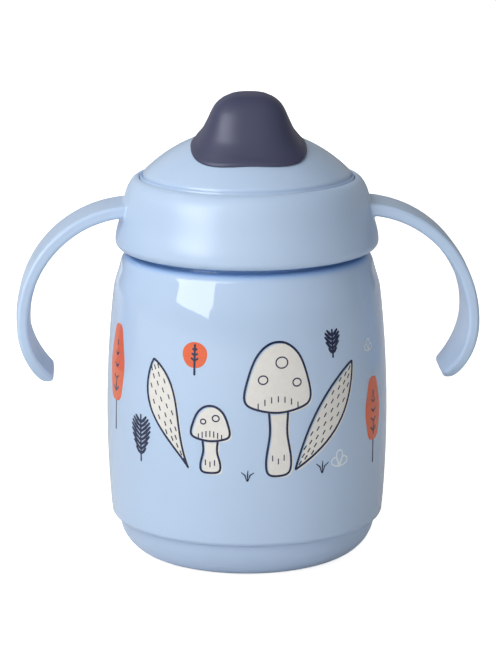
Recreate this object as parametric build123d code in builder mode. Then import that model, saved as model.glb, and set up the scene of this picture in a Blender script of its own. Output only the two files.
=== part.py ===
from build123d import *

import os
from math import acos, cos, degrees, radians, sin, sqrt, tan, tau

os.makedirs("parts", exist_ok=True)

# Trainer cup with a soft spout and two hook handles.
# Millimetres. +Z is up, the origin is the middle of the resting face, the
# handles reach out along X and the printed front faces -Y.

# ---------------------------------------------------------------- cup
cup_max_r = 40.0            # belly of the barrel-shaped wall
cup_max_z = 40.5
wall_low = (39.0, 14.5)     # (radius, height) where the barrel wall starts
wall_high = (37.9, 76.5)    # and where the shoulder takes over
wall_heights = [14.5, 24.0, 40.5, 57.0, 76.5]
shoulder_mid = (36.2, 82.9)
shoulder_end = (32.8, 86.9)
cup_wall = 2.0
foot_r = 36.65
foot_round = 10.75
foot_top = 11.0
wall_lip_round = 1.6        # rounded lower lip of the wall above the foot
wall_lip_r = 38.8
rest_inner_r = 21.5         # inner edge of the ring that the cup stands on
underside_rise = 0.9
floor_top = 2.9
floor_corner = (32.05, 6.6) # inside, above the rounded foot
neck_r = 31.3
neck_bore_r = 29.2
neck_bore_bottom = 87.3
rim_z = 97.6

# ---------------------------------------------------------------- printed film
wrap_thickness = 0.25
wrap_bottom = 17.0
wrap_top = 72.0
wrap_heights = [wrap_bottom, cup_max_z, wrap_top]

# ---------------------------------------------------------------- screw thread
thread_starts = 3
thread_lead = 12.0
thread_turns = 0.5
thread_bottom = 89.4
outer_thread_depth = 1.0
inner_thread_depth = 1.7
thread_base = 2.0
thread_crest = 1.0
thread_root = 0.5           # how far a ridge is rooted in its wall

# ---------------------------------------------------------------- collar
collar_bottom = 88.5
collar_bore_r = 33.3
collar_hole_r = 30.4
collar_skirt = [(37.25, 90.6), (36.2, 96.0), (34.6, 103.0), (33.0, 106.9), (30.75, 108.55)]
collar_lip_round = 2.1
collar_lip_r = collar_skirt[0][0] - collar_lip_round
collar_hole_round = 0.35
collar_inside = [(33.3, 100.3), (32.9, 101.6), (31.7, 104.6), (30.4, 106.4)]

# ---------------------------------------------------------------- handles
handle_arch_centre = (32.0, 68.5)
handle_arch_r = 29.4        # inner face of the upper, wider arc
handle_hook_centre = (41.4, 68.5)
handle_thickness = 4.1
handle_end_angle = -47.0
handle_tip_bulge = 1.2      # the end face swells out between its two faces
handle_inner_draft = 2.8    # both faces fall away from the parting line
handle_outer_draft = 1.6
handle_edge_round = 1.0
handle_root_r = 32.4        # the handles start inside the collar wall
handle_root_half = 8.8
handle_widths = [(9.6, 88.0), (11.4, 70.0), (12.3, 60.0), (9.9, 53.0)]  # (half width, height)
handle_tip_flat = 0.4       # depth of the tongue's round end that the tip cuts off

# ---------------------------------------------------------------- dome
dome_r = 41.0               # sphere that the dome is cut from
dome_centre_z = 80.95
dome_wall = 2.0
dome_edge_r = 28.7
dome_inner_edge_r = 27.0
ledge_z = 108.35
ledge_r = 30.2
ledge_bottom = 106.3
ridge_r = 29.78
ridge_height = 0.5
flange_r = 33.0
flange_bottom = 99.6
dome_skirt = [(31.4, 104.4), (32.6, 101.5), (33.0, 100.2)]
seal_skirt_r = 31.9
seal_skirt_z = 98.7
dome_bore = [(28.9, 104.2), (28.1, 106.2), (27.5, 108.3)]

# ---------------------------------------------------------------- spout
spout_tilt = 10.5           # degrees that the spout leans to the front
spout_squareness = 2.3      # exponent of the rounded oval sections
# (height above the dome's centre, half width, half depth)
spout_sections = [
    (35.8, 16.2, 15.2),
    (37.3, 16.45, 15.5),
    (37.95, 16.1, 15.15),
    (38.45, 15.45, 14.4),
    (39.1, 14.8, 13.6),
    (40.3, 14.0, 12.6),
    (42.0, 13.0, 11.3),
    (43.8, 12.15, 10.2),
    (45.6, 11.4, 9.2),
    (47.8, 10.45, 8.0),
    (49.6, 9.5, 6.9),
    (51.1, 8.15, 5.7),
    (52.2, 6.5, 4.4),
    (52.95, 4.5, 3.0),
    (53.3, 2.4, 1.6),
]
spout_wall = 2.0
spout_neck = (12.95, 11.95)     # half width and half depth inside the dome
spout_neck_play = 0.05
spout_neck_top = 40.0
spout_grip = (15.2, 14.2)       # flange that grips the dome from below
spout_grip_wall = 1.6
spout_seat = 0.03
drink_slot = (5.0, 0.8)
drink_slot_back = 2.4       # the slot lies behind the crest of the tip

# ---------------------------------------------------------------- valve
valve_bore_r = 9.6
valve_tube_r = 9.5
valve_tube_bore_r = 8.2
valve_ledge_bore_r = 6.4
valve_flange_r = 12.4
valve_flange_low = 32.3
valve_flange_high = 33.9
valve_ledge_high = 35.0
membrane_thickness = 1.0
membrane_r = 8.15
membrane_dish_r = 4.6
membrane_dish_depth = 0.5
membrane_slit = 4.0
membrane_slit_width = 0.12
retainer_height = 1.5
retainer_bar = 1.6
valve_tube_high = 39.0
pull_tab = (8.0, 1.6, 6.0)      # width, thickness, length
pull_tab_hole_r = 2.0

# ---------------------------------------------------------------- air vent
vent_lean = -28.0               # degrees behind the top of the dome
vent_head_r = 3.3
vent_pocket_r = 3.4
vent_pocket_depth = 0.9
vent_stem_r = 1.35
vent_hole_r = 1.4
vent_bulb_r = 2.4
vent_pinhole_r = 0.35
vent_bulb_height = 1.6

# ---------------------------------------------------------------- lid seal
seal_inner_r = 29.0
seal_outer_r = 31.6
seal_gap = 0.05
seal_round = 0.6


def leaning_plane(lean):
    """Plane through the dome's centre whose normal leans forward by lean degrees."""
    tilt = radians(lean)
    return Plane(
        origin=(0, 0, dome_centre_z),
        x_dir=(1, 0, 0),
        z_dir=(0, -sin(tilt), cos(tilt)),
    )


def oval_points(half_width, half_depth, count=24):
    """Points round a superellipse, a little squarer than an ellipse."""
    power = 2 / spout_squareness
    points = []
    for step in range(count):
        angle = tau * step / count
        along = abs(cos(angle)) ** power * (1 if cos(angle) >= 0 else -1)
        across = abs(sin(angle)) ** power * (1 if sin(angle) >= 0 else -1)
        points.append((half_width * along, half_depth * across))
    return points


def wall_radius(height, inset=0.0):
    """Radius of the barrel wall: an arc through its low, widest and high points."""
    (low_r, low_z), (high_r, high_z) = wall_low, wall_high
    drop = cup_max_r - low_r if height < cup_max_z else cup_max_r - high_r
    span = cup_max_z - low_z if height < cup_max_z else high_z - cup_max_z
    return cup_max_r - inset - drop * ((height - cup_max_z) / span) ** 2


def thread_ridge(wall_r, crest_r, bottom, turn):
    """One start of the thread: a ridge that winds up round the axis."""
    rooted_r = wall_r - thread_root if crest_r > wall_r else wall_r + thread_root
    with BuildPart() as ridge:
        with BuildLine():
            Helix(
                pitch=thread_lead,
                height=thread_lead * thread_turns,
                radius=wall_r,
                center=(0, 0, bottom),
            )
        with BuildSketch(Plane.XZ):
            with BuildLine():
                Polyline(
                    (rooted_r, bottom - thread_base / 2),
                    (wall_r, bottom - thread_base / 2),
                    (crest_r, bottom - thread_crest / 2),
                    (crest_r, bottom + thread_crest / 2),
                    (wall_r, bottom + thread_base / 2),
                    (rooted_r, bottom + thread_base / 2),
                    close=True,
                )
            make_face()
        sweep(is_frenet=True)
    return ridge.part.rotate(Axis.Z, turn)


spout_plane = leaning_plane(spout_tilt)
vent_plane = leaning_plane(vent_lean)


def oval(height, half_width, half_depth):
    """Rounded oval section of the spout, at a height above the dome's centre."""
    with BuildSketch(spout_plane.offset(height)) as section:
        with BuildLine():
            Spline(oval_points(half_width, half_depth), periodic=True)
        make_face()
    return section.sketch


def ball(radius):
    """Ball round the dome's centre."""
    return Sphere(radius, mode=Mode.PRIVATE).moved(Location((0, 0, dome_centre_z)))


def oval_prism(low, high, half_width, half_depth):
    """Straight-sided oval plug between two heights above the dome's centre."""
    with BuildPart() as prism:
        with BuildSketch(spout_plane.offset(low)):
            with BuildLine():
                Spline(oval_points(half_width, half_depth), periodic=True)
            make_face()
        extrude(amount=high - low)
    return prism.part


def sphere_height(radius, across):
    """Height of a sphere round the dome's centre, at a distance from its axis."""
    return dome_centre_z + sqrt(radius**2 - across**2)


# ================================================================ cup
# One moulding: stepped foot, barrel wall, shoulder and threaded neck.
with BuildPart() as cup:
    with BuildSketch(Plane.XZ):
        with BuildLine():
            underside = Polyline(
                (0, underside_rise),
                (rest_inner_r - 1, underside_rise),
                (rest_inner_r, 0),
                (foot_r - foot_round, 0),
            )
            foot = RadiusArc(underside @ 1, (foot_r, foot_round), -foot_round)
            step = Polyline(
                foot @ 1,
                (foot_r, foot_top),
                (wall_lip_r - wall_lip_round, foot_top),
            )
            lip = RadiusArc(step @ 1, (wall_lip_r, foot_top + wall_lip_round), -wall_lip_round)
            lip_to_wall = Line(lip @ 1, wall_low)
            wall = Spline([(wall_radius(z), z) for z in wall_heights])
            shoulder = Spline(
                wall @ 1, shoulder_mid, shoulder_end, tangents=(wall % 1, (-1, 0))
            )
            neck = Polyline(
                shoulder @ 1,
                (neck_r, shoulder_end[1]),
                (neck_r, rim_z),
                (neck_bore_r, rim_z),
                (neck_bore_r, neck_bore_bottom),
            )
            inner_shoulder = Spline(
                neck @ 1,
                (wall_high[0] - cup_wall - 0.2, wall_high[1] - 1),
                tangents=((0.1, -1), (0.07, -1)),
            )
            inner_wall = Spline(
                inner_shoulder @ 1,
                (cup_max_r - cup_wall, cup_max_z),
                (wall_low[0] - cup_wall, wall_low[1] + 2),
            )
            inner_floor = Spline(
                inner_wall @ 1,
                floor_corner,
                (foot_r - foot_round - 1, floor_top),
                tangents=((-0.1, -1), (-1, 0)),
            )
            Polyline(inner_floor @ 1, (0, floor_top), (0, underside_rise))
        make_face()
    revolve(axis=Axis.Z)

    # The printed film lies flush in a shallow recess of the wall.
    with BuildSketch(Plane.XZ):
        with BuildLine():
            recess = Spline([(wall_radius(z, wrap_thickness), z) for z in wrap_heights])
            Polyline(
                recess @ 1,
                (cup_max_r + 2, wrap_top),
                (cup_max_r + 2, wrap_bottom),
                recess @ 0,
            )
        make_face()
    revolve(axis=Axis.Z, mode=Mode.SUBTRACT)

    # Outer thread on the neck.
    for start in range(thread_starts):
        turn = 360 / thread_starts * start
        add(thread_ridge(neck_r, neck_r + outer_thread_depth, thread_bottom, turn))
cup.part.label = "cup"
export_step(cup.part, "parts/cup.step")

# ================================================================ printed film
# Thin film that carries the print, moulded into the wall.
with BuildPart() as printed_wrap:
    with BuildSketch(Plane.XZ):
        with BuildLine():
            back = Spline([(wall_radius(z, wrap_thickness), z) for z in wrap_heights])
            film_end = Line(back @ 1, (wall_radius(wrap_top), wrap_top))
            front = Spline([(wall_radius(z), z) for z in reversed(wrap_heights)])
            Line(front @ 1, back @ 0)
        make_face()
    revolve(axis=Axis.Z)
printed_wrap.part.label = "printed_wrap"
export_step(printed_wrap.part, "parts/printed_wrap.step")

# ================================================================ collar
# Screw ring and its two hook handles, one moulding.
arch_x, arch_z = handle_arch_centre
hook_x, hook_z = handle_hook_centre
arch_top = arch_z + handle_arch_r + handle_thickness
hook_reach = arch_x + handle_arch_r + handle_thickness


def on_arc(centre, radius, angle):
    """Point of a circle at an angle in degrees."""
    return (
        centre[0] + radius * cos(radians(angle)),
        centre[1] + radius * sin(radians(angle)),
    )


def hook_outline(from_parting):
    """Side view of the hook: an arch, then a tighter arc that turns in at the tip.

    The draft draws both faces in with the distance from the parting line.
    """
    inner_arch_r = handle_arch_r + from_parting * tan(radians(handle_inner_draft))
    outer_inset = from_parting * tan(radians(handle_outer_draft))
    outer_arch_r = handle_arch_r + handle_thickness - outer_inset
    inner_hook_r = inner_arch_r + arch_x - hook_x
    outer_hook_r = outer_arch_r + arch_x - hook_x
    root_angle = degrees(acos((handle_root_r - arch_x) / inner_arch_r))
    with BuildSketch() as outline:
        with BuildLine():
            inner_arch = ThreePointArc(
                on_arc(handle_arch_centre, inner_arch_r, root_angle),
                on_arc(handle_arch_centre, inner_arch_r, root_angle / 2),
                on_arc(handle_arch_centre, inner_arch_r, 0),
            )
            inner_hook = ThreePointArc(
                inner_arch @ 1,
                on_arc(handle_hook_centre, inner_hook_r, handle_end_angle / 2),
                on_arc(handle_hook_centre, inner_hook_r, handle_end_angle),
            )
            middle_hook_r = (inner_hook_r + outer_hook_r) / 2
            bulge_angle = handle_end_angle - degrees(handle_tip_bulge / middle_hook_r)
            tip = ThreePointArc(
                inner_hook @ 1,
                on_arc(handle_hook_centre, middle_hook_r, bulge_angle),
                on_arc(handle_hook_centre, outer_hook_r, handle_end_angle),
            )
            outer_hook = ThreePointArc(
                tip @ 1,
                on_arc(handle_hook_centre, outer_hook_r, handle_end_angle / 2),
                on_arc(handle_hook_centre, outer_hook_r, 0),
            )
            outer_arch = ThreePointArc(
                outer_hook @ 1,
                on_arc(handle_arch_centre, outer_arch_r, root_angle / 2),
                on_arc(handle_arch_centre, outer_arch_r, root_angle),
            )
            Line(outer_arch @ 1, inner_arch @ 0)
        make_face()
    return outline.sketch


blank_half = max(half_width for half_width, height in handle_widths) + 1
with BuildPart() as hook:
    # Parting line in the middle, draft to both sides.
    with BuildSketch(Plane.XZ):
        add(hook_outline(0))
    with BuildSketch(Plane.XZ.offset(blank_half)):
        add(hook_outline(blank_half))
    loft(ruled=True)
    mirror(about=Plane.XZ)
    # Seen from the side the handle is a tongue, widest near its round end.
    tongue_top = arch_top + 1
    tip_z = on_arc(handle_hook_centre, hook_reach - hook_x, handle_end_angle)[1]
    tongue_end = tip_z - handle_tip_flat
    with BuildSketch(Plane.YZ):
        with BuildLine():
            side = Spline(
                (handle_root_half, tongue_top),
                *handle_widths,
                (0, tongue_end),
                tangents=((0, -1), (-1, 0)),
            )
            Polyline(side @ 1, (0, tongue_top), side @ 0)
        make_face()
        mirror(about=Plane.YZ)
    extrude(amount=hook_reach + 1, mode=Mode.INTERSECT)

with BuildPart() as handle_collar:
    with BuildSketch(Plane.XZ):
        with BuildLine():
            under = Line((collar_hole_r, collar_bottom), (collar_lip_r, collar_bottom))
            lip = RadiusArc(under @ 1, collar_skirt[0], -collar_lip_round)
            skirt = Spline(collar_skirt, tangents=((0, 1), (-1, 0.12)))
            Polyline(
                skirt @ 1,
                (collar_hole_r, collar_skirt[-1][1] - collar_hole_round),
                (collar_hole_r, collar_bottom),
            )
        make_face()
    revolve(axis=Axis.Z)
    add(hook.part)
    add(hook.part.mirror(Plane.YZ))
    # The handle's rims and its root on the ring share one rounding. The parting
    # line and the joints between the arcs run across the faces and stay.
    round_edges = handle_collar.edges().filter_by(
        lambda edge: abs((edge @ 0.5).X) > arch_x
        and abs((edge @ 0.5).Y) > 0.05
        and abs((edge @ 0.5).Z - hook_z) > 0.5
        and (edge @ 0.5).Z > 0
        and not edge.is_closed
    )
    fillet(round_edges, radius=handle_edge_round)
    # Bore, narrowing under the shoulder to hold the dome's flange down.
    with BuildSketch(Plane.XZ):
        with BuildLine():
            Polyline(
                (collar_hole_r - 5, collar_bottom - 1),
                (collar_bore_r, collar_bottom - 1),
                *collar_inside,
                (collar_hole_r - 5, collar_inside[-1][1]),
                close=True,
            )
        make_face()
    revolve(axis=Axis.Z, mode=Mode.SUBTRACT)
    # Inner thread, half a pitch below the one on the neck.
    for start in range(thread_starts):
        turn = 360 / thread_starts * start
        add(
            thread_ridge(
                collar_bore_r,
                collar_bore_r - inner_thread_depth,
                thread_bottom + thread_lead / thread_starts / 2,
                turn,
            )
        )
handle_collar.part.label = "handle_collar"
export_step(handle_collar.part, "parts/handle_collar.step")

# ================================================================ dome
# Domed lid insert. The collar's shoulder holds its flange down on the cup's rim.
dome_inner_r = dome_r - dome_wall


with BuildPart() as lid_dome:
    with BuildSketch(Plane.XZ):
        with BuildLine():
            crown = ThreePointArc(
                (0, sphere_height(dome_r, 0)),
                (dome_edge_r / 2, sphere_height(dome_r, dome_edge_r / 2)),
                (dome_edge_r, sphere_height(dome_r, dome_edge_r)),
            )
            edge_round = Spline(
                crown @ 1,
                (dome_edge_r + 0.6, ledge_z + 0.5),
                tangents=(crown % 1, (-0.05, -1)),
            )
            ledge = Spline(
                edge_round @ 1,
                (ridge_r - 0.2, ledge_z + 0.05),
                (ridge_r, ledge_z + ridge_height),
                (ledge_r, ledge_z - 0.1),
            )
            skirt = Polyline(
                ledge @ 1,
                (ledge_r, ledge_bottom),
                *dome_skirt,
                (flange_r, seal_skirt_z),
                (seal_skirt_r, seal_skirt_z),
                (seal_skirt_r, flange_bottom),
                (dome_bore[0][0], flange_bottom),
                *dome_bore,
                (dome_inner_edge_r, sphere_height(dome_inner_r, dome_inner_edge_r)),
            )
            ceiling = ThreePointArc(
                skirt @ 1,
                (dome_inner_edge_r / 2, sphere_height(dome_inner_r, dome_inner_edge_r / 2)),
                (0, sphere_height(dome_inner_r, 0)),
            )
            Line(ceiling @ 1, crown @ 0)
        make_face()
    revolve(axis=Axis.Z)
    # Opening for the spout, a little larger than its neck.
    opening = [half + spout_neck_play for half in spout_neck]
    add(oval_prism(dome_inner_r - 5, dome_r + 1, *opening), mode=Mode.SUBTRACT)
    # Seat and hole of the air vent.
    with BuildSketch(vent_plane.offset(dome_r - vent_pocket_depth)):
        Circle(vent_pocket_r)
    extrude(amount=vent_pocket_depth + 1, mode=Mode.SUBTRACT)
    with BuildSketch(vent_plane.offset(dome_inner_r - 1)):
        Circle(vent_hole_r)
    extrude(amount=dome_wall + 1, mode=Mode.SUBTRACT)
lid_dome.part.label = "lid_dome"
export_step(lid_dome.part, "parts/lid_dome.step")

# ================================================================ spout
# Soft spout. Its rim lies on the dome, its neck goes through the opening and a
# second flange grips the dome from below.
cavity_sections = [
    (height - 0.5, half_width - spout_wall, half_depth - spout_wall)
    for height, half_width, half_depth in spout_sections
    if height > dome_r and half_depth > spout_wall + 2.4
]
cavity_low = cavity_sections[0][0]
cavity_top = cavity_sections[-1][0]
spout_tip = spout_sections[-1][0]

with BuildPart() as grip:
    add(oval_prism(dome_inner_r - 8, dome_inner_r, *spout_grip))
    add(ball(dome_inner_r - spout_seat), mode=Mode.INTERSECT)
    add(ball(dome_inner_r - spout_grip_wall), mode=Mode.SUBTRACT)

with BuildPart() as spout_cavity:
    for section in cavity_sections:
        add(oval(*section))
    loft()

with BuildPart() as spout:
    for section in spout_sections:
        add(oval(*section))
    loft()
    add(ball(dome_r + spout_seat), mode=Mode.SUBTRACT)
    # Neck through the dome, and the flange below it.
    add(oval_prism(valve_flange_high, spout_neck_top, *spout_neck))
    add(grip.part)
    # Hollow: a round bore that takes the valve, then the tapering inside.
    add(spout_cavity.part, mode=Mode.SUBTRACT)
    with BuildSketch(spout_plane.offset(valve_flange_high - 1)):
        Circle(valve_bore_r)
    extrude(amount=cavity_low - valve_flange_high + 1.5, mode=Mode.SUBTRACT)
    # Drinking slot in the tip.
    with BuildSketch(spout_plane.offset(cavity_top - 1)):
        with Locations((0, drink_slot_back)):
            SlotOverall(*drink_slot)
    extrude(amount=spout_tip - cavity_top + 2, mode=Mode.SUBTRACT)
spout.part.label = "spout"
export_step(spout.part, "parts/spout.step")

# ================================================================ valve
# Plug that pushes into the spout from below and keeps the cup from spilling.
with BuildPart() as valve_housing:
    with BuildSketch(spout_plane.offset(valve_flange_low)):
        Circle(valve_flange_r)
    extrude(amount=valve_flange_high - valve_flange_low)
    flange_edges = valve_housing.edges()
    fillet(flange_edges, radius=0.4)
    with BuildSketch(spout_plane.offset(valve_flange_high - 0.5)):
        Circle(valve_tube_r)
    extrude(amount=valve_tube_high - valve_flange_high + 0.5)
    with BuildSketch(spout_plane.offset(valve_flange_low)):
        Circle(valve_ledge_bore_r)
    extrude(amount=valve_tube_high - valve_flange_low, mode=Mode.SUBTRACT)
    with BuildSketch(spout_plane.offset(valve_ledge_high)):
        Circle(valve_tube_bore_r)
    extrude(amount=valve_tube_high - valve_ledge_high, mode=Mode.SUBTRACT)
    # Pull tab with a finger hole, below the flange.
    tab_width, tab_thickness, tab_length = pull_tab
    tab_y = (valve_ledge_bore_r + valve_flange_r) / 2
    with BuildSketch(spout_plane.offset(valve_flange_low + 0.5)):
        with Locations((0, -tab_y)):
            Rectangle(tab_width, tab_thickness)
    extrude(amount=-tab_length - 0.5)
    tab_plane = Plane(
        origin=spout_plane.from_local_coords(
            (0, -tab_y, valve_flange_low - tab_length / 2 - 0.4)
        ),
        x_dir=spout_plane.x_dir,
        z_dir=spout_plane.y_dir,
    )
    with BuildSketch(tab_plane):
        Circle(pull_tab_hole_r)
    extrude(amount=tab_thickness, both=True, mode=Mode.SUBTRACT)
valve_housing.part.label = "valve_housing"
export_step(valve_housing.part, "parts/valve_housing.step")

# Silicone disc with a crossed slit that opens when the child sucks.
with BuildPart() as valve_membrane:
    with BuildSketch(spout_plane.offset(valve_ledge_high)):
        Circle(membrane_r)
    extrude(amount=membrane_thickness)
    with BuildSketch(spout_plane.offset(valve_ledge_high)):
        Circle(membrane_dish_r)
    extrude(amount=membrane_dish_depth, mode=Mode.SUBTRACT)
    with BuildSketch(spout_plane.offset(valve_ledge_high)):
        Rectangle(membrane_slit, membrane_slit_width)
        Rectangle(membrane_slit_width, membrane_slit)
    extrude(amount=membrane_thickness, mode=Mode.SUBTRACT)
valve_membrane.part.label = "valve_membrane"
export_step(valve_membrane.part, "parts/valve_membrane.step")

# Ring that snaps in above the membrane and holds its rim down.
with BuildPart() as valve_retainer:
    with BuildSketch(spout_plane.offset(valve_ledge_high + membrane_thickness)):
        Circle(membrane_r)
        Circle(valve_ledge_bore_r, mode=Mode.SUBTRACT)
    extrude(amount=retainer_height)
    with BuildSketch(spout_plane.offset(valve_ledge_high + membrane_thickness)):
        Rectangle(2 * membrane_r - 1, retainer_bar)
    extrude(amount=retainer_height)
valve_retainer.part.label = "valve_retainer"
export_step(valve_retainer.part, "parts/valve_retainer.step")

# ================================================================ air vent
# Silicone mushroom pushed through the back of the dome.
with BuildPart() as air_vent_valve:
    with BuildSketch(vent_plane.offset(dome_r - vent_pocket_depth)):
        Circle(vent_head_r)
    extrude(amount=vent_pocket_depth)
    with BuildSketch(vent_plane.offset(dome_inner_r - vent_bulb_height)):
        Circle(vent_bulb_r)
    extrude(amount=vent_bulb_height - 0.1)
    vent_edges = air_vent_valve.edges()
    fillet(vent_edges, radius=0.3)
    with BuildSketch(vent_plane.offset(dome_inner_r - 0.5)):
        Circle(vent_stem_r)
    extrude(amount=dome_wall)
    with BuildSketch(vent_plane.offset(dome_inner_r - vent_bulb_height - 0.5)):
        Circle(vent_pinhole_r)
    extrude(amount=vent_bulb_height + dome_wall + 1.5, mode=Mode.SUBTRACT)
air_vent_valve.part.label = "air_vent_valve"
export_step(air_vent_valve.part, "parts/air_vent_valve.step")

# ================================================================ lid seal
# Silicone ring between the dome's flange and the cup's rim.
with BuildPart() as lid_seal:
    seal_bottom = rim_z + seal_gap
    with BuildSketch(Plane.XZ):
        with Locations(((seal_inner_r + seal_outer_r) / 2, (seal_bottom + flange_bottom) / 2)):
            RectangleRounded(
                seal_outer_r - seal_inner_r, flange_bottom - seal_bottom, seal_round
            )
    revolve(axis=Axis.Z)
lid_seal.part.label = "lid_seal"
export_step(lid_seal.part, "parts/lid_seal.step")
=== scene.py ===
from math import cos, pi, radians, sin, sqrt, tau

import bmesh
import bpy
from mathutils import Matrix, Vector


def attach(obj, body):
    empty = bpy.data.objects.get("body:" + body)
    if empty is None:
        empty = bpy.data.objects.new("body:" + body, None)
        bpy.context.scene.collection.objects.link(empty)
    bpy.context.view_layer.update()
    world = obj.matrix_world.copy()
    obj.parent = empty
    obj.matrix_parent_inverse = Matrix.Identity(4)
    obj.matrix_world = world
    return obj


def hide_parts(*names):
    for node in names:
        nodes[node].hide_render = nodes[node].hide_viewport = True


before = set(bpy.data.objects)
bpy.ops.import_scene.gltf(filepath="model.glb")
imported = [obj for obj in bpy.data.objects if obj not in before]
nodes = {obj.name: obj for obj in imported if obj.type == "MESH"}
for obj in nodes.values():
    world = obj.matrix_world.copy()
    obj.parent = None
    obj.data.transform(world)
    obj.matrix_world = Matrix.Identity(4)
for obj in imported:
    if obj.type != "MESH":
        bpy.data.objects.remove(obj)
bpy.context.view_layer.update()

MM = 0.001

# Linear colours of the mouldings, the silicone and the inks
BLUE = (0.50, 0.64, 0.84)
FOOT_BLUE = (0.49, 0.62, 0.82)
# Painted bounce light: the deeper blue put on the cup's neck stands in for light bounced between
# the blue parts in the gap under the ring
NECK_PAINTED_BOUNCE_BLUE = (0.32, 0.56, 0.96)
SLATE = (0.066, 0.070, 0.126)
FROSTED = (0.72, 0.76, 0.80)
VALVE_WHITE = (0.78, 0.80, 0.83)
CREAM = (0.80, 0.78, 0.74)
NAVY = (0.016, 0.026, 0.075)
ORANGE = (0.80, 0.14, 0.05)
CHALK = (0.80, 0.87, 0.94)

# Sizes of the noise textures, in repeats per metre
COLOUR_DRIFT = 38.0
GLOSS_DRIFT = 90.0
MIRROR_DRIFT = 160.0
WAVINESS = 120.0
INK_MOTTLE = 700.0
SKIN = 900.0

# The cup's barrel wall, as (radius, height): its widest, lowest and highest points
WALL_WIDE = (40.0 * MM, 40.5 * MM)
WALL_LOW = (39.0 * MM, 14.5 * MM)
WALL_HIGH = (37.9 * MM, 76.5 * MM)
FOOT_TOP = 11.6 * MM
# Height where the painted bounce-light blue on the neck begins
PAINTED_BOUNCE_BOTTOM = 86.4 * MM


# ---------------------------------------------------------------- materials
def new_material(name):
    """Empty node material and its Principled shader."""
    material = bpy.data.materials.new(name)
    material.use_nodes = True
    tree = material.node_tree
    tree.nodes.clear()
    output = tree.nodes.new("ShaderNodeOutputMaterial")
    shader = tree.nodes.new("ShaderNodeBsdfPrincipled")
    tree.links.new(shader.outputs["BSDF"], output.inputs["Surface"])
    return material, tree, shader


def object_position(tree):
    return tree.nodes.new("ShaderNodeTexCoord").outputs["Object"]


def noise(tree, position, scale, detail=2.0):
    node = tree.nodes.new("ShaderNodeTexNoise")
    node.inputs["Scale"].default_value = scale
    node.inputs["Detail"].default_value = detail
    tree.links.new(position, node.inputs["Vector"])
    return node.outputs["Fac"]


def spread(tree, value, low, high, source=(0.3, 0.7)):
    """Noise mapped to the range low..high."""
    node = tree.nodes.new("ShaderNodeMapRange")
    node.inputs["From Min"].default_value = source[0]
    node.inputs["From Max"].default_value = source[1]
    node.inputs["To Min"].default_value = low
    node.inputs["To Max"].default_value = high
    tree.links.new(value, node.inputs["Value"])
    return node.outputs["Result"]


def mix_colours(tree, factor, first, second):
    node = tree.nodes.new("ShaderNodeMix")
    node.data_type = "RGBA"
    tree.links.new(factor, node.inputs["Factor"])
    for socket, colour in ((node.inputs["A"], first), (node.inputs["B"], second)):
        if isinstance(colour, tuple):
            socket.default_value = (*colour, 1)
        else:
            tree.links.new(colour, socket)
    return node.outputs["Result"]


def bump(tree, shader, height, strength, distance):
    node = tree.nodes.new("ShaderNodeBump")
    node.inputs["Strength"].default_value = strength
    node.inputs["Distance"].default_value = distance
    tree.links.new(height, node.inputs["Height"])
    tree.links.new(node.outputs["Normal"], shader.inputs["Normal"])


def tint(colour, factor):
    return tuple(min(1.0, channel * factor) for channel in colour)


def moulded(name, colour, roughness, subsurface=0.0, grain=0.05):
    """Moulded plastic or silicone: faint colour drift, uneven gloss, fine skin texture.

    roughness is its lowest and highest value, and grain the strength of the texture.
    """
    material, tree, shader = new_material(name)
    position = object_position(tree)
    drift = spread(tree, noise(tree, position, COLOUR_DRIFT), 0, 1)
    shaded = mix_colours(tree, drift, tint(colour, 0.975), tint(colour, 1.025))
    tree.links.new(shaded, shader.inputs["Base Color"])
    gloss = spread(tree, noise(tree, position, GLOSS_DRIFT), *roughness)
    tree.links.new(gloss, shader.inputs["Roughness"])
    bump(tree, shader, noise(tree, position, SKIN, 1.0), grain, 0.004 * MM)
    shader.inputs["IOR"].default_value = 1.49
    shader.inputs["Subsurface Weight"].default_value = subsurface
    shader.inputs["Subsurface Radius"].default_value = (1.0, 1.1, 1.4)
    shader.inputs["Subsurface Scale"].default_value = 1.2 * MM
    return material


def gloss_finish(tree, shader, position):
    """Nearly mirror-smooth, with a slow waviness that bends reflections. Gives the roughness."""
    mirror = spread(tree, noise(tree, position, MIRROR_DRIFT), 0.04, 0.06)
    bump(tree, shader, noise(tree, position, WAVINESS, 1.0), 0.05, 0.03 * MM)
    shader.inputs["IOR"].default_value = 1.5
    return mirror


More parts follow.
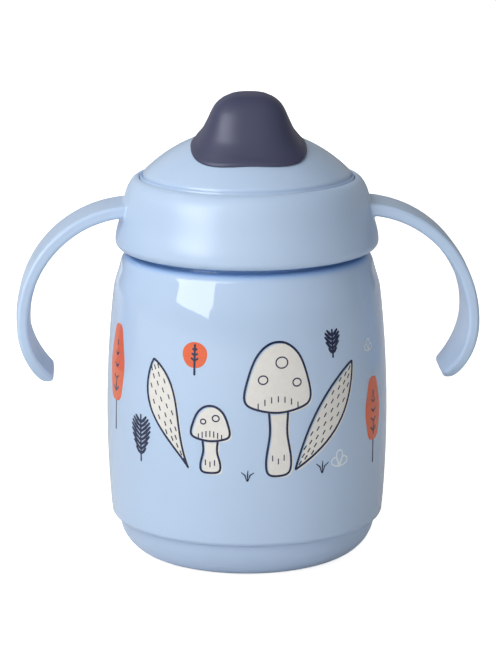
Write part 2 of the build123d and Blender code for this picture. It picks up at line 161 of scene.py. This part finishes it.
def cup_wall_material():
    """Glossy wall, satin foot below the step and a neck painted a deeper blue as painted bounce
    light from the gap under the ring, in one moulding.
    """
    material, tree, shader = new_material("cup_gloss_foot_and_painted_bounce")
    position = object_position(tree)
    split = tree.nodes.new("ShaderNodeSeparateXYZ")
    tree.links.new(position, split.inputs["Vector"])
    height = split.outputs["Z"]
    on_wall = spread(tree, height, 0, 1, (FOOT_TOP - 0.1 * MM, FOOT_TOP + 0.1 * MM))
    # Painted bounce light: above this height the wall turns a deeper blue that stands in for
    # light bounced in the gap under the ring
    painted_bounce_on_neck = spread(tree, height, 0, 1, (PAINTED_BOUNCE_BOTTOM - 0.8 * MM, PAINTED_BOUNCE_BOTTOM + 0.8 * MM))
    drift = spread(tree, noise(tree, position, COLOUR_DRIFT), 0, 1)
    wall = mix_colours(tree, drift, tint(BLUE, 0.985), tint(BLUE, 1.015))
    foot = mix_colours(tree, drift, tint(FOOT_BLUE, 0.975), tint(FOOT_BLUE, 1.025))
    lower = mix_colours(tree, on_wall, foot, wall)
    # The painted bounce-light blue goes over the wall and foot colours on the neck
    tree.links.new(mix_colours(tree, painted_bounce_on_neck, lower, NECK_PAINTED_BOUNCE_BLUE), shader.inputs["Base Color"])
    satin = spread(tree, noise(tree, position, GLOSS_DRIFT), 0.30, 0.36)
    mirror = gloss_finish(tree, shader, position)
    gloss = tree.nodes.new("ShaderNodeMix")
    tree.links.new(on_wall, gloss.inputs["Factor"])
    tree.links.new(satin, gloss.inputs["A"])
    tree.links.new(mirror, gloss.inputs["B"])
    tree.links.new(gloss.outputs["Result"], shader.inputs["Roughness"])
    return material


def glossy_film(name, colour, variation, scale=INK_MOTTLE):
    """Film or ink under the cup's gloss. variation is how unevenly the colour lies."""
    material, tree, shader = new_material(name)
    position = object_position(tree)
    drift = spread(tree, noise(tree, position, scale), 0, 1)
    shaded = mix_colours(tree, drift, tint(colour, 1 - variation), tint(colour, 1 + variation))
    tree.links.new(shaded, shader.inputs["Base Color"])
    tree.links.new(gloss_finish(tree, shader, position), shader.inputs["Roughness"])
    return material


def dress(node, material):
    mesh = nodes[node].data
    mesh.materials.clear()
    mesh.materials.append(material)


satin_blue = moulded("satin_blue_plastic", BLUE, (0.285, 0.325))
dome_blue = moulded("dome_blue_plastic", BLUE, (0.15, 0.19))
slate_silicone = moulded("slate_silicone", SLATE, (0.36, 0.42), grain=0.1)
frosted_silicone = moulded("frosted_silicone", FROSTED, (0.35, 0.45), subsurface=0.3)
valve_plastic = moulded("valve_plastic", VALVE_WHITE, (0.28, 0.36), subsurface=0.1)

dress("cup", cup_wall_material())
dress("printed_wrap", glossy_film("printed_film_gloss", BLUE, 0.015, COLOUR_DRIFT))
dress("handle_collar", satin_blue)
dress("lid_dome", dome_blue)
for node in ("lid_seal", "air_vent_valve", "valve_membrane"):
    dress(node, frosted_silicone)
for node in ("valve_housing", "valve_retainer"):
    dress(node, valve_plastic)


def new_piece(name, mesh, material, body):
    """Mesh object that rides on a CAD body."""
    piece = bpy.data.objects.new(name, mesh)
    bpy.context.scene.collection.objects.link(piece)
    mesh.materials.append(material)
    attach(piece, body)
    return piece


# ---------------------------------------------------------------- soft spout
# The spout leans forward, so it is drawn in a frame of its own: heights run along
# its axis from the centre of the dome's sphere, in millimetres.
DOME_CENTRE_Z = 80.95
SPOUT_LEAN = radians(10.5)
SPOUT_SEGMENTS = 96
BELL_SHAPE = (2.6, 2.3)              # squareness of the front and of the rear half
LIP_SHAPE = (2.75, 2.1)
SLOT_SHAPE = (4, 4)
ROUND = (2, 2)
LIP_FORWARD = -1.0                  # the lip reaches further to the front
DRINK_SLOT = (2.5, 0.4)             # half length and half width
DRINK_SLOT_BACK = 2.4               # the slot lies behind the crest of the tip
TIP_RINGS = 9                       # rings from the slot's rim to the first full section
TIP_HALF_WIDTH = 5.5                # the bell is full from this half width down
# Outside of the bell from the tip down: (height, half width, half depth)
BELL = [
    (53.3, 0.0, 0.0),
    (53.26, 2.2, 1.5),
    (53.0, 4.4, 3.0),
    (52.2, 6.5, 4.5),
    (51.1, 8.15, 5.9),
    (49.6, 9.5, 7.2),
    (47.8, 10.45, 8.4),
    (45.9, 11.25, 9.6),
    (44.1, 12.05, 10.8),
    (42.4, 12.85, 12.0),
    (40.9, 13.85, 13.4),
    (39.8, 14.7, 14.6),
]
# Lip on the dome: (distance from the sphere's centre, half width, half depth)
LIP = [
    (42.15, 15.5, 14.6),
    (42.0, 15.85, 15.0),
    (41.75, 16.1, 15.3),
    (41.4, 16.2, 15.4),
    (41.15, 16.1, 15.3),
    (41.05, 15.9, 15.1),
]
NECK = (12.95, 11.95)
GRIP = (15.2, 14.2)
DOME_OUTER_R = 41.04
DOME_INNER_R = 38.97
GRIP_INNER_R = 37.4
NECK_FOOT = 33.92
VALVE_BORE_R = 9.6
# Inside of the bell from the valve up: (height, half width, half depth)
CAVITY = [
    (41.5, 10.8, 9.6),
    (43.3, 10.1, 8.6),
    (45.1, 9.35, 7.5),
    (47.3, 8.4, 6.3),
    (49.1, 7.3, 5.0),
    (50.6, 5.6, 3.6),
]


def curve_through(points, steps, closed=False):
    """Smooth curve (Catmull-Rom) through points of any dimension."""
    count = len(points)
    spans = count if closed else count - 1
    result = []
    for span in range(spans):
        if closed:
            four = [points[(span + k - 1) % count] for k in range(4)]
        else:
            four = [points[min(max(span + k - 1, 0), count - 1)] for k in range(4)]
        for step in range(steps):
            t = step / steps
            weights = (
                -0.5 * t + t * t - 0.5 * t**3,
                1 - 2.5 * t * t + 1.5 * t**3,
                0.5 * t + 2 * t * t - 1.5 * t**3,
                -0.5 * t * t + 0.5 * t**3,
            )
            result.append(
                tuple(
                    sum(weight * value for weight, value in zip(weights, values))
                    for values in zip(*four)
                )
            )
    if not closed:
        result.append(tuple(points[-1]))
    return result


def oval_ring(half_width, half_depth, shape, back=0.0):
    """Points round a rounded oval whose middle lies back from the spout's axis."""
    ring = []
    for step in range(SPOUT_SEGMENTS):
        angle = tau * step / SPOUT_SEGMENTS
        power = 2 / shape[0 if sin(angle) < 0 else 1]
        across = abs(cos(angle)) ** power * (1 if cos(angle) >= 0 else -1)
        along = abs(sin(angle)) ** power * (1 if sin(angle) >= 0 else -1)
        ring.append((half_width * across, back + half_depth * along))
    return ring


bell_profile = curve_through(BELL, 6)


def bell_height(x, y):
    """Height of the bell's outside over a point of its plan."""

    def outside(level):
        height, half_width, half_depth = bell_profile[level]
        reach = (abs(x) / max(half_width, 0.01)) ** BELL_SHAPE[0]
        return reach + (abs(y) / max(half_depth, 0.01)) ** BELL_SHAPE[0]

    level = 1
    while level < len(bell_profile) - 1 and outside(level) > 1:
        level += 1
    above, below = outside(level - 1), outside(level)
    share = (above - 1) / (above - below) if above < 50 else 1.0
    share = min(max(share, 0), 1)
    return bell_profile[level - 1][0] * (1 - share) + bell_profile[level][0] * share


def level_ring(height, half_width, half_depth, shape):
    return [(x, y, height) for x, y in oval_ring(half_width, half_depth, shape)]


def sphere_ring(radius, half_width, half_depth, shape, back=0.0):
    ring = oval_ring(half_width, half_depth, shape, back)
    return [(x, y, sqrt(radius**2 - x * x - y * y)) for x, y in ring]


def spout_rings():
    """Rings down the outside, round the lip, in under the dome and up the inside."""
    rings = []
    # From the slot's rim, over the tip, to the first full section
    slot_width, slot_depth = DRINK_SLOT
    tip = next(
        level for level, section in enumerate(bell_profile) if section[1] > TIP_HALF_WIDTH
    )
    tip_width, tip_depth = bell_profile[tip][1:]
    for step in range(TIP_RINGS):
        ease = (step / TIP_RINGS) ** 1.5
        plan = oval_ring(
            slot_width + (tip_width - slot_width) * ease,
            slot_depth + (tip_depth - slot_depth) * ease,
            [a + (b - a) * ease for a, b in zip(SLOT_SHAPE, BELL_SHAPE)],
            DRINK_SLOT_BACK * (1 - ease),
        )
        rings.append([(x, y, bell_height(x, y)) for x, y in plan])
    rings += [level_ring(*section, BELL_SHAPE) for section in bell_profile[tip:-1]]
    # The bell runs out into the lip, which follows the dome's sphere
    lip_profile = curve_through(LIP, 3)
    last = level_ring(*bell_profile[-1], BELL_SHAPE)
    first = sphere_ring(*lip_profile[0], LIP_SHAPE, LIP_FORWARD)
    for share in (0.0, 0.35, 0.7):
        rings.append(
            [tuple(a + (b - a) * share for a, b in zip(p, q)) for p, q in zip(last, first)]
        )
    rings += [sphere_ring(*section, LIP_SHAPE, LIP_FORWARD) for section in lip_profile]
    # Under the lip, neck, grip flange, foot
    rings.append(sphere_ring(DOME_OUTER_R, *NECK, BELL_SHAPE))
    rings.append(sphere_ring(DOME_INNER_R, *NECK, BELL_SHAPE))
    rings.append(sphere_ring(DOME_INNER_R, *GRIP, BELL_SHAPE))
    rings.append(sphere_ring(GRIP_INNER_R, *GRIP, BELL_SHAPE))
    rings.append(sphere_ring(GRIP_INNER_R, *NECK, BELL_SHAPE))
    rings.append(level_ring(NECK_FOOT, *NECK, BELL_SHAPE))
    # Valve bore, cavity, inside of the slot
    rings.append(level_ring(NECK_FOOT, VALVE_BORE_R, VALVE_BORE_R, ROUND))
    rings.append(level_ring(CAVITY[0][0] - 0.5, VALVE_BORE_R, VALVE_BORE_R, ROUND))
    rings += [level_ring(*section, BELL_SHAPE) for section in curve_through(CAVITY, 3)]
    ceiling = CAVITY[-1][0] + 0.3
    slot_plan = oval_ring(slot_width, slot_depth, SLOT_SHAPE, DRINK_SLOT_BACK)
    rings.append([(x, y, ceiling) for x, y in slot_plan])
    return rings


def make_spout():
    """Bell-shaped soft spout with its drinking slot, one closed skin."""
    rings = spout_rings()
    up = Vector((0, -sin(SPOUT_LEAN), cos(SPOUT_LEAN)))
    back = Vector((0, cos(SPOUT_LEAN), sin(SPOUT_LEAN)))
    centre = Vector((0, 0, DOME_CENTRE_Z))
    points = []
    for ring in rings:
        for x, y, height in ring:
            points.append((centre + Vector((x, 0, 0)) + back * y + up * height) * MM)
    faces = []
    for level in range(len(rings)):
        here = level * SPOUT_SEGMENTS
        there = (level + 1) % len(rings) * SPOUT_SEGMENTS
        for step in range(SPOUT_SEGMENTS):
            after = (step + 1) % SPOUT_SEGMENTS
            faces.append((here + step, there + step, there + after, here + after))
    mesh = bpy.data.meshes.new("soft_spout")
    mesh.from_pydata(points, [], faces)
    mesh.shade_smooth()
    mesh.set_sharp_from_angle(angle=radians(50))
    piece = new_piece("soft_spout", mesh, slate_silicone, "lid")
    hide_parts("spout")


make_spout()


# ---------------------------------------------------------------- print
# The print is drawn flat in millimetres: x runs round the wall from the middle of
# the front, y is the height. It is then wrapped on the wall as thin closed inks.
WALL_CUT = 1.0                      # longest straight run round the wall
INK_ROOT = -0.06                    # how far each ink reaches into the film
FILL_LIFT = 0.035
LINE_LIFT = 0.06
LINE = 0.32                         # half width of the drawn line
FINE_LINE = 0.28


def wall_radius(height):
    """Radius of the barrel wall at a height."""
    drop_to = WALL_LOW if height < WALL_WIDE[1] else WALL_HIGH
    share = (height - WALL_WIDE[1]) / (drop_to[1] - WALL_WIDE[1])
    return WALL_WIDE[0] - (WALL_WIDE[0] - drop_to[0]) * share**2


def wall_slope(height):
    """How fast the radius grows with the height."""
    drop_to = WALL_LOW if height < WALL_WIDE[1] else WALL_HIGH
    span = drop_to[1] - WALL_WIDE[1]
    return -2 * (WALL_WIDE[0] - drop_to[0]) * (height - WALL_WIDE[1]) / span**2


class Ink:
    """Flat closed patches of one ink, wrapped on the wall when they are all drawn."""

    def __init__(self, name, material, lift):
        self.name, self.material, self.lift = name, material, lift
        self.bm = bmesh.new()

    def fill(self, outline):
        """Area inside a closed outline."""
        patch = bmesh.new()
        patch.faces.new([patch.verts.new((x, y, self.lift)) for x, y in outline])
        bmesh.ops.triangulate(patch, faces=patch.faces[:])
        for axis, step in ((0, WALL_CUT), (1, 3 * WALL_CUT)):
            places = [vert.co[axis] for vert in patch.verts]
            cut = (int(min(places) / step) + 1) * step
            normal = Vector((1 - axis, axis, 0))
            while cut < max(places):
                geometry = patch.verts[:] + patch.edges[:] + patch.faces[:]
                bmesh.ops.bisect_plane(
                    patch, geom=geometry, plane_co=normal * cut, plane_no=normal, dist=1e-5
                )
                cut += step
        self.add_patch(patch)

    def line(self, points, half_width=LINE, closed=False, taper=0.0):
        """Drawn line with round ends. taper thins both ends of an open line."""
        count = len(points)
        patch = bmesh.new()
        rails = []
        for index, point in enumerate(points):
            before = points[index - 1] if closed or index > 0 else point
            after = points[(index + 1) % count] if closed or index < count - 1 else point
            along = Vector((after[0] - before[0], after[1] - before[1]))
            if along.length < 1e-9:
                along = Vector((1, 0))
            along.normalize()
            side = Vector((-along.y, along.x))
            share = abs(2 * index / (count - 1) - 1)
            width = half_width if closed else half_width * (1 - taper * share**2)
            rails.append((Vector(point), side * width, along * width))
        if not closed:
            rails = self.round_end(rails[0], -1) + rails + self.round_end(rails[-1], 1)
        pairs = []
        for middle, side, along in rails:
            left = patch.verts.new((*(middle + side), self.lift))
            right = patch.verts.new((*(middle - side), self.lift))
            pairs.append((left, right))
        spans = len(pairs) if closed else len(pairs) - 1
        for index in range(spans):
            left, right = pairs[index]
            next_left, next_right = pairs[(index + 1) % len(pairs)]
            patch.faces.new((left, right, next_right, next_left))
        self.add_patch(patch)

    @staticmethod
    def round_end(rail, way):
        """Extra steps that round a line off beyond its end."""
        middle, side, along = rail
        steps = [
            (middle + along * way * sin(radians(a)), side * max(cos(radians(a)), 0.1), along)
            for a in (30, 60, 85)
        ]
        return steps if way > 0 else steps[::-1]

    def add_patch(self, patch):
        """Gives a flat patch its thickness and keeps it."""
        for face in patch.faces:
            face.normal_update()
            if face.normal.z < 0:
                face.normal_flip()
        bottom = bmesh.ops.extrude_face_region(patch, geom=patch.faces[:], use_keep_orig=True)
        for item in bottom["geom"]:
            if isinstance(item, bmesh.types.BMVert):
                item.co.z = INK_ROOT
        bmesh.ops.recalc_face_normals(patch, faces=patch.faces[:])
        flat = bpy.data.meshes.new("patch")
        patch.to_mesh(flat)
        patch.free()
        self.bm.from_mesh(flat)
        bpy.data.meshes.remove(flat)

    def finish(self):
        """Wraps all patches on the wall, with the wall's own normals for its gloss."""
        normals = []
        for vert in self.bm.verts:
            angle = vert.co.x * MM / WALL_WIDE[0]
            height = vert.co.y * MM
            radius = wall_radius(height) + vert.co.z * MM
            outward = Vector((sin(angle), -cos(angle), 0))
            normals.append((outward - Vector((0, 0, wall_slope(height)))).normalized())
            vert.co = outward * radius + Vector((0, 0, height))
        mesh = bpy.data.meshes.new(self.name)
        self.bm.to_mesh(mesh)
        self.bm.free()
        mesh.shade_smooth()
        mesh.normals_split_custom_set_from_vertices(normals)
        new_piece(self.name, mesh, self.material, "cup")


def turns(count):
    """Equal angles once round."""
    return [tau * step / count for step in range(count)]


def blade_width(share, half_width, fullest):
    """Half width along a blade. fullest over 1 puts its widest part nearer the tip."""
    return half_width * sin(pi * share**fullest) ** 0.8


def blade(base, tip, half_width, bow, fullest, count=26):
    """Leaf outline between two points. bow bends it sideways."""
    base, tip = Vector(base), Vector(tip)
    along = tip - base
    side = Vector((-along.y, along.x)).normalized()
    left, right = [], []
    for step in range(count + 1):
        share = 0.5 - 0.5 * cos(pi * step / count)
        middle = base + along * share + side * bow * sin(pi * share)
        width = blade_width(share, half_width, fullest)
        left.append(tuple(middle + side * width))
        right.append(tuple(middle - side * width))
    return left[:-1] + right[:0:-1]


def moved(points, right=0.6, up=-0.5):
    """Colour areas are printed a little off their outlines."""
    return [(x + right, y + up) for x, y in points]


def dashes(navy, base, tip, half_width, bow, fullest):
    """Rows of short strokes that follow a blade."""
    base, tip = Vector(base), Vector(tip)
    along = tip - base
    side = Vector((-along.y, along.x)).normalized()
    stroke = along.normalized() * 0.55
    rows = int(along.length / 2.1)
    for row in range(1, rows):
        share = row / rows
        width = blade_width(share, half_width, fullest)
        middle = base + along * share + side * bow * sin(pi * share)
        places = [-0.6, 0.0, 0.6] if row % 2 else [-0.3, 0.3]
        if width < 1.6:
            places = [0.0]
        for place in places:
            spot = middle + side * width * place
            navy.line([tuple(spot - stroke), tuple(spot), tuple(spot + stroke)], 0.18)


def big_blade(cream, navy, x, base, tip, half_width, bow, fullest):
    """Pale leaf with an outline and strokes."""
    base, tip = (base[0] + x, base[1]), (tip[0] + x, tip[1])
    outline = blade(base, tip, half_width, bow, fullest)
    cream.fill(moved(outline))
    navy.line(outline, LINE, closed=True)
    dashes(navy, base, tip, half_width, bow, fullest)


def feather_leaf(navy, x, base_y, tip_y, half_width):
    """Dark leaf drawn as a midrib with close slanting veins."""
    height = tip_y - base_y
    navy.line([(x, base_y - 0.18 * height), (x, base_y + 0.5 * height), (x, tip_y)], FINE_LINE)
    count = max(int(height / 1.25), 5)
    for step in range(count):
        share = step / count
        y = base_y + height * share * 0.92
        reach = half_width * sin(pi * (0.14 + 0.8 * share)) ** 0.8
        rise = 0.75 * reach + 0.3
        for way in (-1, 1):
            middle = (x + way * reach * 0.55, y + rise * 0.45)
            navy.line([(x, y), middle, (x + way * reach, y + rise)], 0.45, taper=0.35)


def twigs(navy, x, low, high, reach, count):
    """Trunk line inside a tree crown, with rising twigs."""
    navy.line([(x, low), (x, (low + high) / 2), (x, high)], LINE)
    for step in range(count):
        share = (step + 0.6) / (count + 0.4)
        y = low + (high - low) * (0.35 + 0.6 * share)
        out = reach * (1.05 - 0.6 * share)
        navy.line([(x - out, y + out * 0.8), (x, y), (x + out, y + out * 0.8)], FINE_LINE)


def tall_tree(orange, navy, x, foot, low, high, half_width):
    """Slim rounded crown with a slight waist."""
    middle, half_height = (low + high) / 2, (high - low) / 2
    crown = []
    for angle in turns(48):
        across = abs(cos(angle)) ** 0.62 * (1 if cos(angle) >= 0 else -1)
        along = sin(angle)
        width = half_width * (1 - 0.12 * along) * (1 + 0.06 * cos(5 * along))
        crown.append((x + width * across, middle + half_height * along))
    orange.fill(crown)
    twigs(navy, x, foot, high - 0.22 * (high - low), 1.5, 4)


def round_tree(orange, navy, x, y, radius):
    """Round crown, a little uneven."""
    crown = []
    for angle in turns(40):
        across = radius * (1 + 0.03 * sin(3 * angle)) * cos(angle)
        along = radius * (1 + 0.03 * cos(2 * angle)) * sin(angle)
        crown.append((x + across, y + along))
    orange.fill(crown)
    twigs(navy, x, y - 1.45 * radius, y + 0.75 * radius, 0.95, 3)


def sprout(chalk, x, y, size):
    """Three open petals in one thin line each."""
    for lean, length in ((-48, 0.85), (0, 1.15), (48, 0.85)):
        turn = radians(lean)
        petal = []
        for step in range(17):
            share = step / 16
            out = size * length * sin(pi * share)
            aside = size * 0.28 * sin(2 * pi * share)
            petal.append(
                (x + out * sin(turn) + aside * cos(turn), y + out * cos(turn) - aside * sin(turn))
            )
        chalk.line(petal, 0.21)


def toadstool(cream, navy, x, low, high, cap_half, stem_half, spots):
    """Plain toadstool: domed cap, stem with a swollen foot, round spots.

    A spot is (across, up, radius), its place in shares of the half cap and of its height.
    """
    height = high - low
    brim = low + 0.52 * height
    cap_height = high - brim
    cap_shape = [
        (-1.0, 0.10), (-0.93, 0.38), (-0.66, 0.76), (-0.25, 0.97), (0.25, 0.98),
        (0.68, 0.78), (0.94, 0.40), (1.0, 0.10), (0.72, -0.03), (0.0, -0.10), (-0.72, -0.03),
    ]
    cap = [(x + cap_half * a, brim + cap_height * b) for a, b in cap_shape]
    cap = curve_through(cap, 5, closed=True)
    stem_shape = [
        (-0.72, 0.9), (-0.66, 0.6), (-0.95, 0.22), (-0.8, 0.02),
        (0.0, -0.02), (0.85, 0.03), (1.0, 0.24), (0.7, 0.6), (0.76, 0.9),
    ]
    stem = [(x + stem_half * a, low + (brim - low) * b) for a, b in stem_shape]
    stem = curve_through(stem, 5)
    cream.fill(moved(stem))
    cream.fill(moved(cap))
    navy.line(stem, LINE)
    navy.line(cap, LINE, closed=True)
    # Gills under the brim and strokes at the foot
    for step in range(-3, 4):
        gill = x + cap_half * 0.2 * step
        top = brim + cap_height * (0.10 - 0.012 * step * step)
        navy.line([(gill, top - 0.5), (gill, top + 0.25), (gill, top + 1.0)], 0.16)
    for step in range(-1, 2):
        stroke = x + stem_half * 0.45 * step
        foot = low + (brim - low) * (0.16 + 0.05 * (step % 2))
        navy.line([(stroke, foot), (stroke, foot + 0.7), (stroke, foot + 1.4)], 0.16)
    for across, up, radius in spots:
        spot_x, spot_y = x + cap_half * across, brim + cap_height * up
        ring = [(spot_x + radius * cos(a), spot_y + radius * 0.9 * sin(a)) for a in turns(24)]
        navy.line(ring, 0.19, closed=True)


def grass(navy, x, y, size):
    """Tuft of three blades."""
    for lean in (-0.55, 0.05, 0.6):
        root = (x + 0.3 * lean, y)
        middle = (x + size * lean * 0.4, y + size * 0.55)
        tip = (x + size * lean, y + size * (1 - 0.35 * abs(lean)))
        navy.line([root, middle, tip], 0.2, taper=0.4)


def print_wall():
    """The same woodland strip on the front and on the back."""
    cream = Ink("print_cream", glossy_film("ink_cream", CREAM, 0.02), FILL_LIFT)
    orange = Ink("print_orange", glossy_film("ink_orange", ORANGE, 0.03), FILL_LIFT)
    navy = Ink("print_navy", glossy_film("ink_navy", NAVY, 0.1), LINE_LIFT)
    chalk = Ink("print_chalk", glossy_film("ink_chalk", CHALK, 0.02), FILL_LIFT)
    half_way = pi * WALL_WIDE[0] / MM
    for x in (0.0, half_way):
        tall_tree(orange, navy, x - 48.9, 39.2, 47.4, 69.3, 4.6)
        feather_leaf(navy, x - 35.3, 34.8, 45.9, 3.7)
        big_blade(cream, navy, x, (-18.8, 33.4), (-30.6, 62.6), 4.6, 1.4, 1.7)
        toadstool(
            cream, navy, x - 12.4, 32.6, 51.4, 5.5, 2.9,
            [(-0.35, 0.5, 0.75), (0.3, 0.62, 0.95)],
        )
        round_tree(orange, navy, x - 17.1, 65.2, 3.7)
        toadstool(
            cream, navy, x + 6.6, 32.0, 69.2, 9.4, 3.6,
            [(-0.45, 0.42, 1.3), (0.12, 0.68, 1.7), (0.58, 0.36, 1.2)],
        )
        big_blade(cream, navy, x, (11.6, 33.2), (31.0, 61.3), 4.3, -0.6, 1.12)
        feather_leaf(navy, x + 23.9, 64.6, 71.0, 2.5)
        grass(navy, x - 2.0, 30.4, 3.0)
        grass(navy, x + 19.8, 31.2, 3.4)
        sprout(chalk, x + 39.6, 62.6, 2.9)
        sprout(chalk, x + 25.8, 32.2, 4.0)
        tall_tree(orange, navy, x + 41.4, 30.3, 36.7, 54.9, 4.2)
    for ink in (cream, orange, navy, chalk):
        ink.finish()


print_wall()


# ---------------------------------------------------------------- stage
def make_floor():
    """Round pale table top."""
    bm = bmesh.new()
    bmesh.ops.create_circle(bm, cap_ends=True, segments=128, radius=3.0)
    mesh = bpy.data.meshes.new("floor")
    bm.to_mesh(mesh)
    bm.free()
    floor = bpy.data.objects.new("floor", mesh)
    bpy.context.scene.collection.objects.link(floor)
    material, tree, shader = new_material("pale_floor")
    shader.inputs["Base Color"].default_value = (0.80, 0.80, 0.80, 1)
    shader.inputs["Roughness"].default_value = 0.9
    shader.inputs["Specular IOR Level"].default_value = 0.1
    # The camera sees it glow, so that it reads as white out to its edge
    eye = tree.nodes.new("ShaderNodeLightPath").outputs["Is Camera Ray"]
    glow = spread(tree, eye, 0.0, 0.85, (0, 1))
    shader.inputs["Emission Color"].default_value = (1, 1, 1, 1)
    tree.links.new(glow, shader.inputs["Emission Strength"])
    mesh.materials.append(material)


# Camera and lights aim at points on the cup's axis
PANEL_AIM = Vector((0, 0, 80 * MM))
PANEL_DISTANCE = 1.2
CAMERA_AIM = Vector((0, 0, 65.3 * MM))
CAMERA_DISTANCE = 892 * MM
CAMERA_DIRECTION = (-3.0, 12.9)     # azimuth and elevation
WORLD_FRONT = (0.03, 0.03, 0.03)
WORLD_BEHIND = (0.30, 0.30, 0.30)


def direction(azimuth, elevation):
    """Unit vector: azimuth 0 towards the front (-Y), positive to the right (+X)."""
    a, e = radians(azimuth), radians(elevation)
    return Vector((sin(a) * cos(e), -cos(a) * cos(e), sin(e)))


def softbox_panel(corners, radiance, shows_as):
    """Soft light whose corners lie in the given directions (azimuth, elevation).

    shows_as is "light" for its brightness on surfaces, "mirror" for its reflection.
    """
    mesh = bpy.data.meshes.new("softbox")
    points = [PANEL_AIM + direction(*corner) * PANEL_DISTANCE for corner in corners]
    mesh.from_pydata(points, [], [tuple(range(len(points)))])
    panel = bpy.data.objects.new("softbox", mesh)
    bpy.context.scene.collection.objects.link(panel)
    material = bpy.data.materials.new("softbox_glow")
    material.use_nodes = True
    tree = material.node_tree
    tree.nodes.clear()
    output = tree.nodes.new("ShaderNodeOutputMaterial")
    glow = tree.nodes.new("ShaderNodeEmission")
    glow.inputs["Strength"].default_value = radiance
    tree.links.new(glow.outputs["Emission"], output.inputs["Surface"])
    mesh.materials.append(material)
    panel.visible_camera = False
    panel.visible_diffuse = shows_as == "light"
    panel.visible_glossy = shows_as == "mirror"


def studio_world():
    """White to the eye. As light it is bright behind the cup and dim in front."""
    world = bpy.data.worlds.new("studio")
    bpy.context.scene.world = world
    world.use_nodes = True
    tree = world.node_tree
    tree.nodes.clear()
    output = tree.nodes.new("ShaderNodeOutputWorld")
    position = tree.nodes.new("ShaderNodeTexCoord").outputs["Generated"]
    split = tree.nodes.new("ShaderNodeSeparateXYZ")
    tree.links.new(position, split.inputs["Vector"])
    behind = spread(tree, split.outputs["Y"], 0.0, 1.0, (0.55, 0.75))
    lit = mix_colours(tree, behind, WORLD_FRONT, WORLD_BEHIND)
    eye = tree.nodes.new("ShaderNodeLightPath").outputs["Is Camera Ray"]
    seen = mix_colours(tree, eye, lit, (1.0, 1.0, 1.0))
    background = tree.nodes.new("ShaderNodeBackground")
    tree.links.new(seen, background.inputs["Color"])
    tree.links.new(background.outputs["Background"], output.inputs["Surface"])


def make_camera():
    """Long lens a little above the cup, from the front and just left of it."""
    lens = bpy.data.cameras.new("camera")
    lens.sensor_width = 36.0
    lens.lens = 169.8
    lens.shift_x = 0.0015
    lens.shift_y = -0.0104
    lens.clip_start = 0.05
    lens.clip_end = 20.0
    camera = bpy.data.objects.new("camera", lens)
    towards = direction(*CAMERA_DIRECTION)
    camera.location = CAMERA_AIM + towards * CAMERA_DISTANCE
    camera.rotation_euler = towards.to_track_quat("Z", "Y").to_euler()
    bpy.context.scene.collection.objects.link(camera)
    bpy.context.scene.camera = camera


make_floor()
studio_world()
# Key from the left, fill from the front, rims from behind on both sides
softbox_panel([(-31, 3), (-24, 56), (-94, 58), (-94, 42), (-63, 22)], 3.3, "light")
softbox_panel([(-33, 3), (-28, 66), (0, 66), (0, 3)], 2.15, "light")
softbox_panel([(0, 15), (0, 66), (32, 66), (32, 15)], 1.0, "light")
softbox_panel([(-98, 10), (-98, 60), (-140, 60), (-140, 10)], 1.2, "light")
softbox_panel([(-138, 0), (-138, 30), (-168, 30), (-168, 0)], 3.0, "light")
softbox_panel([(112, 0), (112, 22), (150, 22), (150, 0)], 2.2, "light")
# The window that the glossy wall mirrors on its upper left
window = [
    (-35, 0), (-32, 19), (-32, 32), (-14, 37), (-14, 40),
    (-50, 39), (-76, 30), (-66, 14), (-51, 6),
]
softbox_panel(window, 6.5, "mirror")
make_camera()
bpy.context.scene.view_settings.view_transform = "Standard"
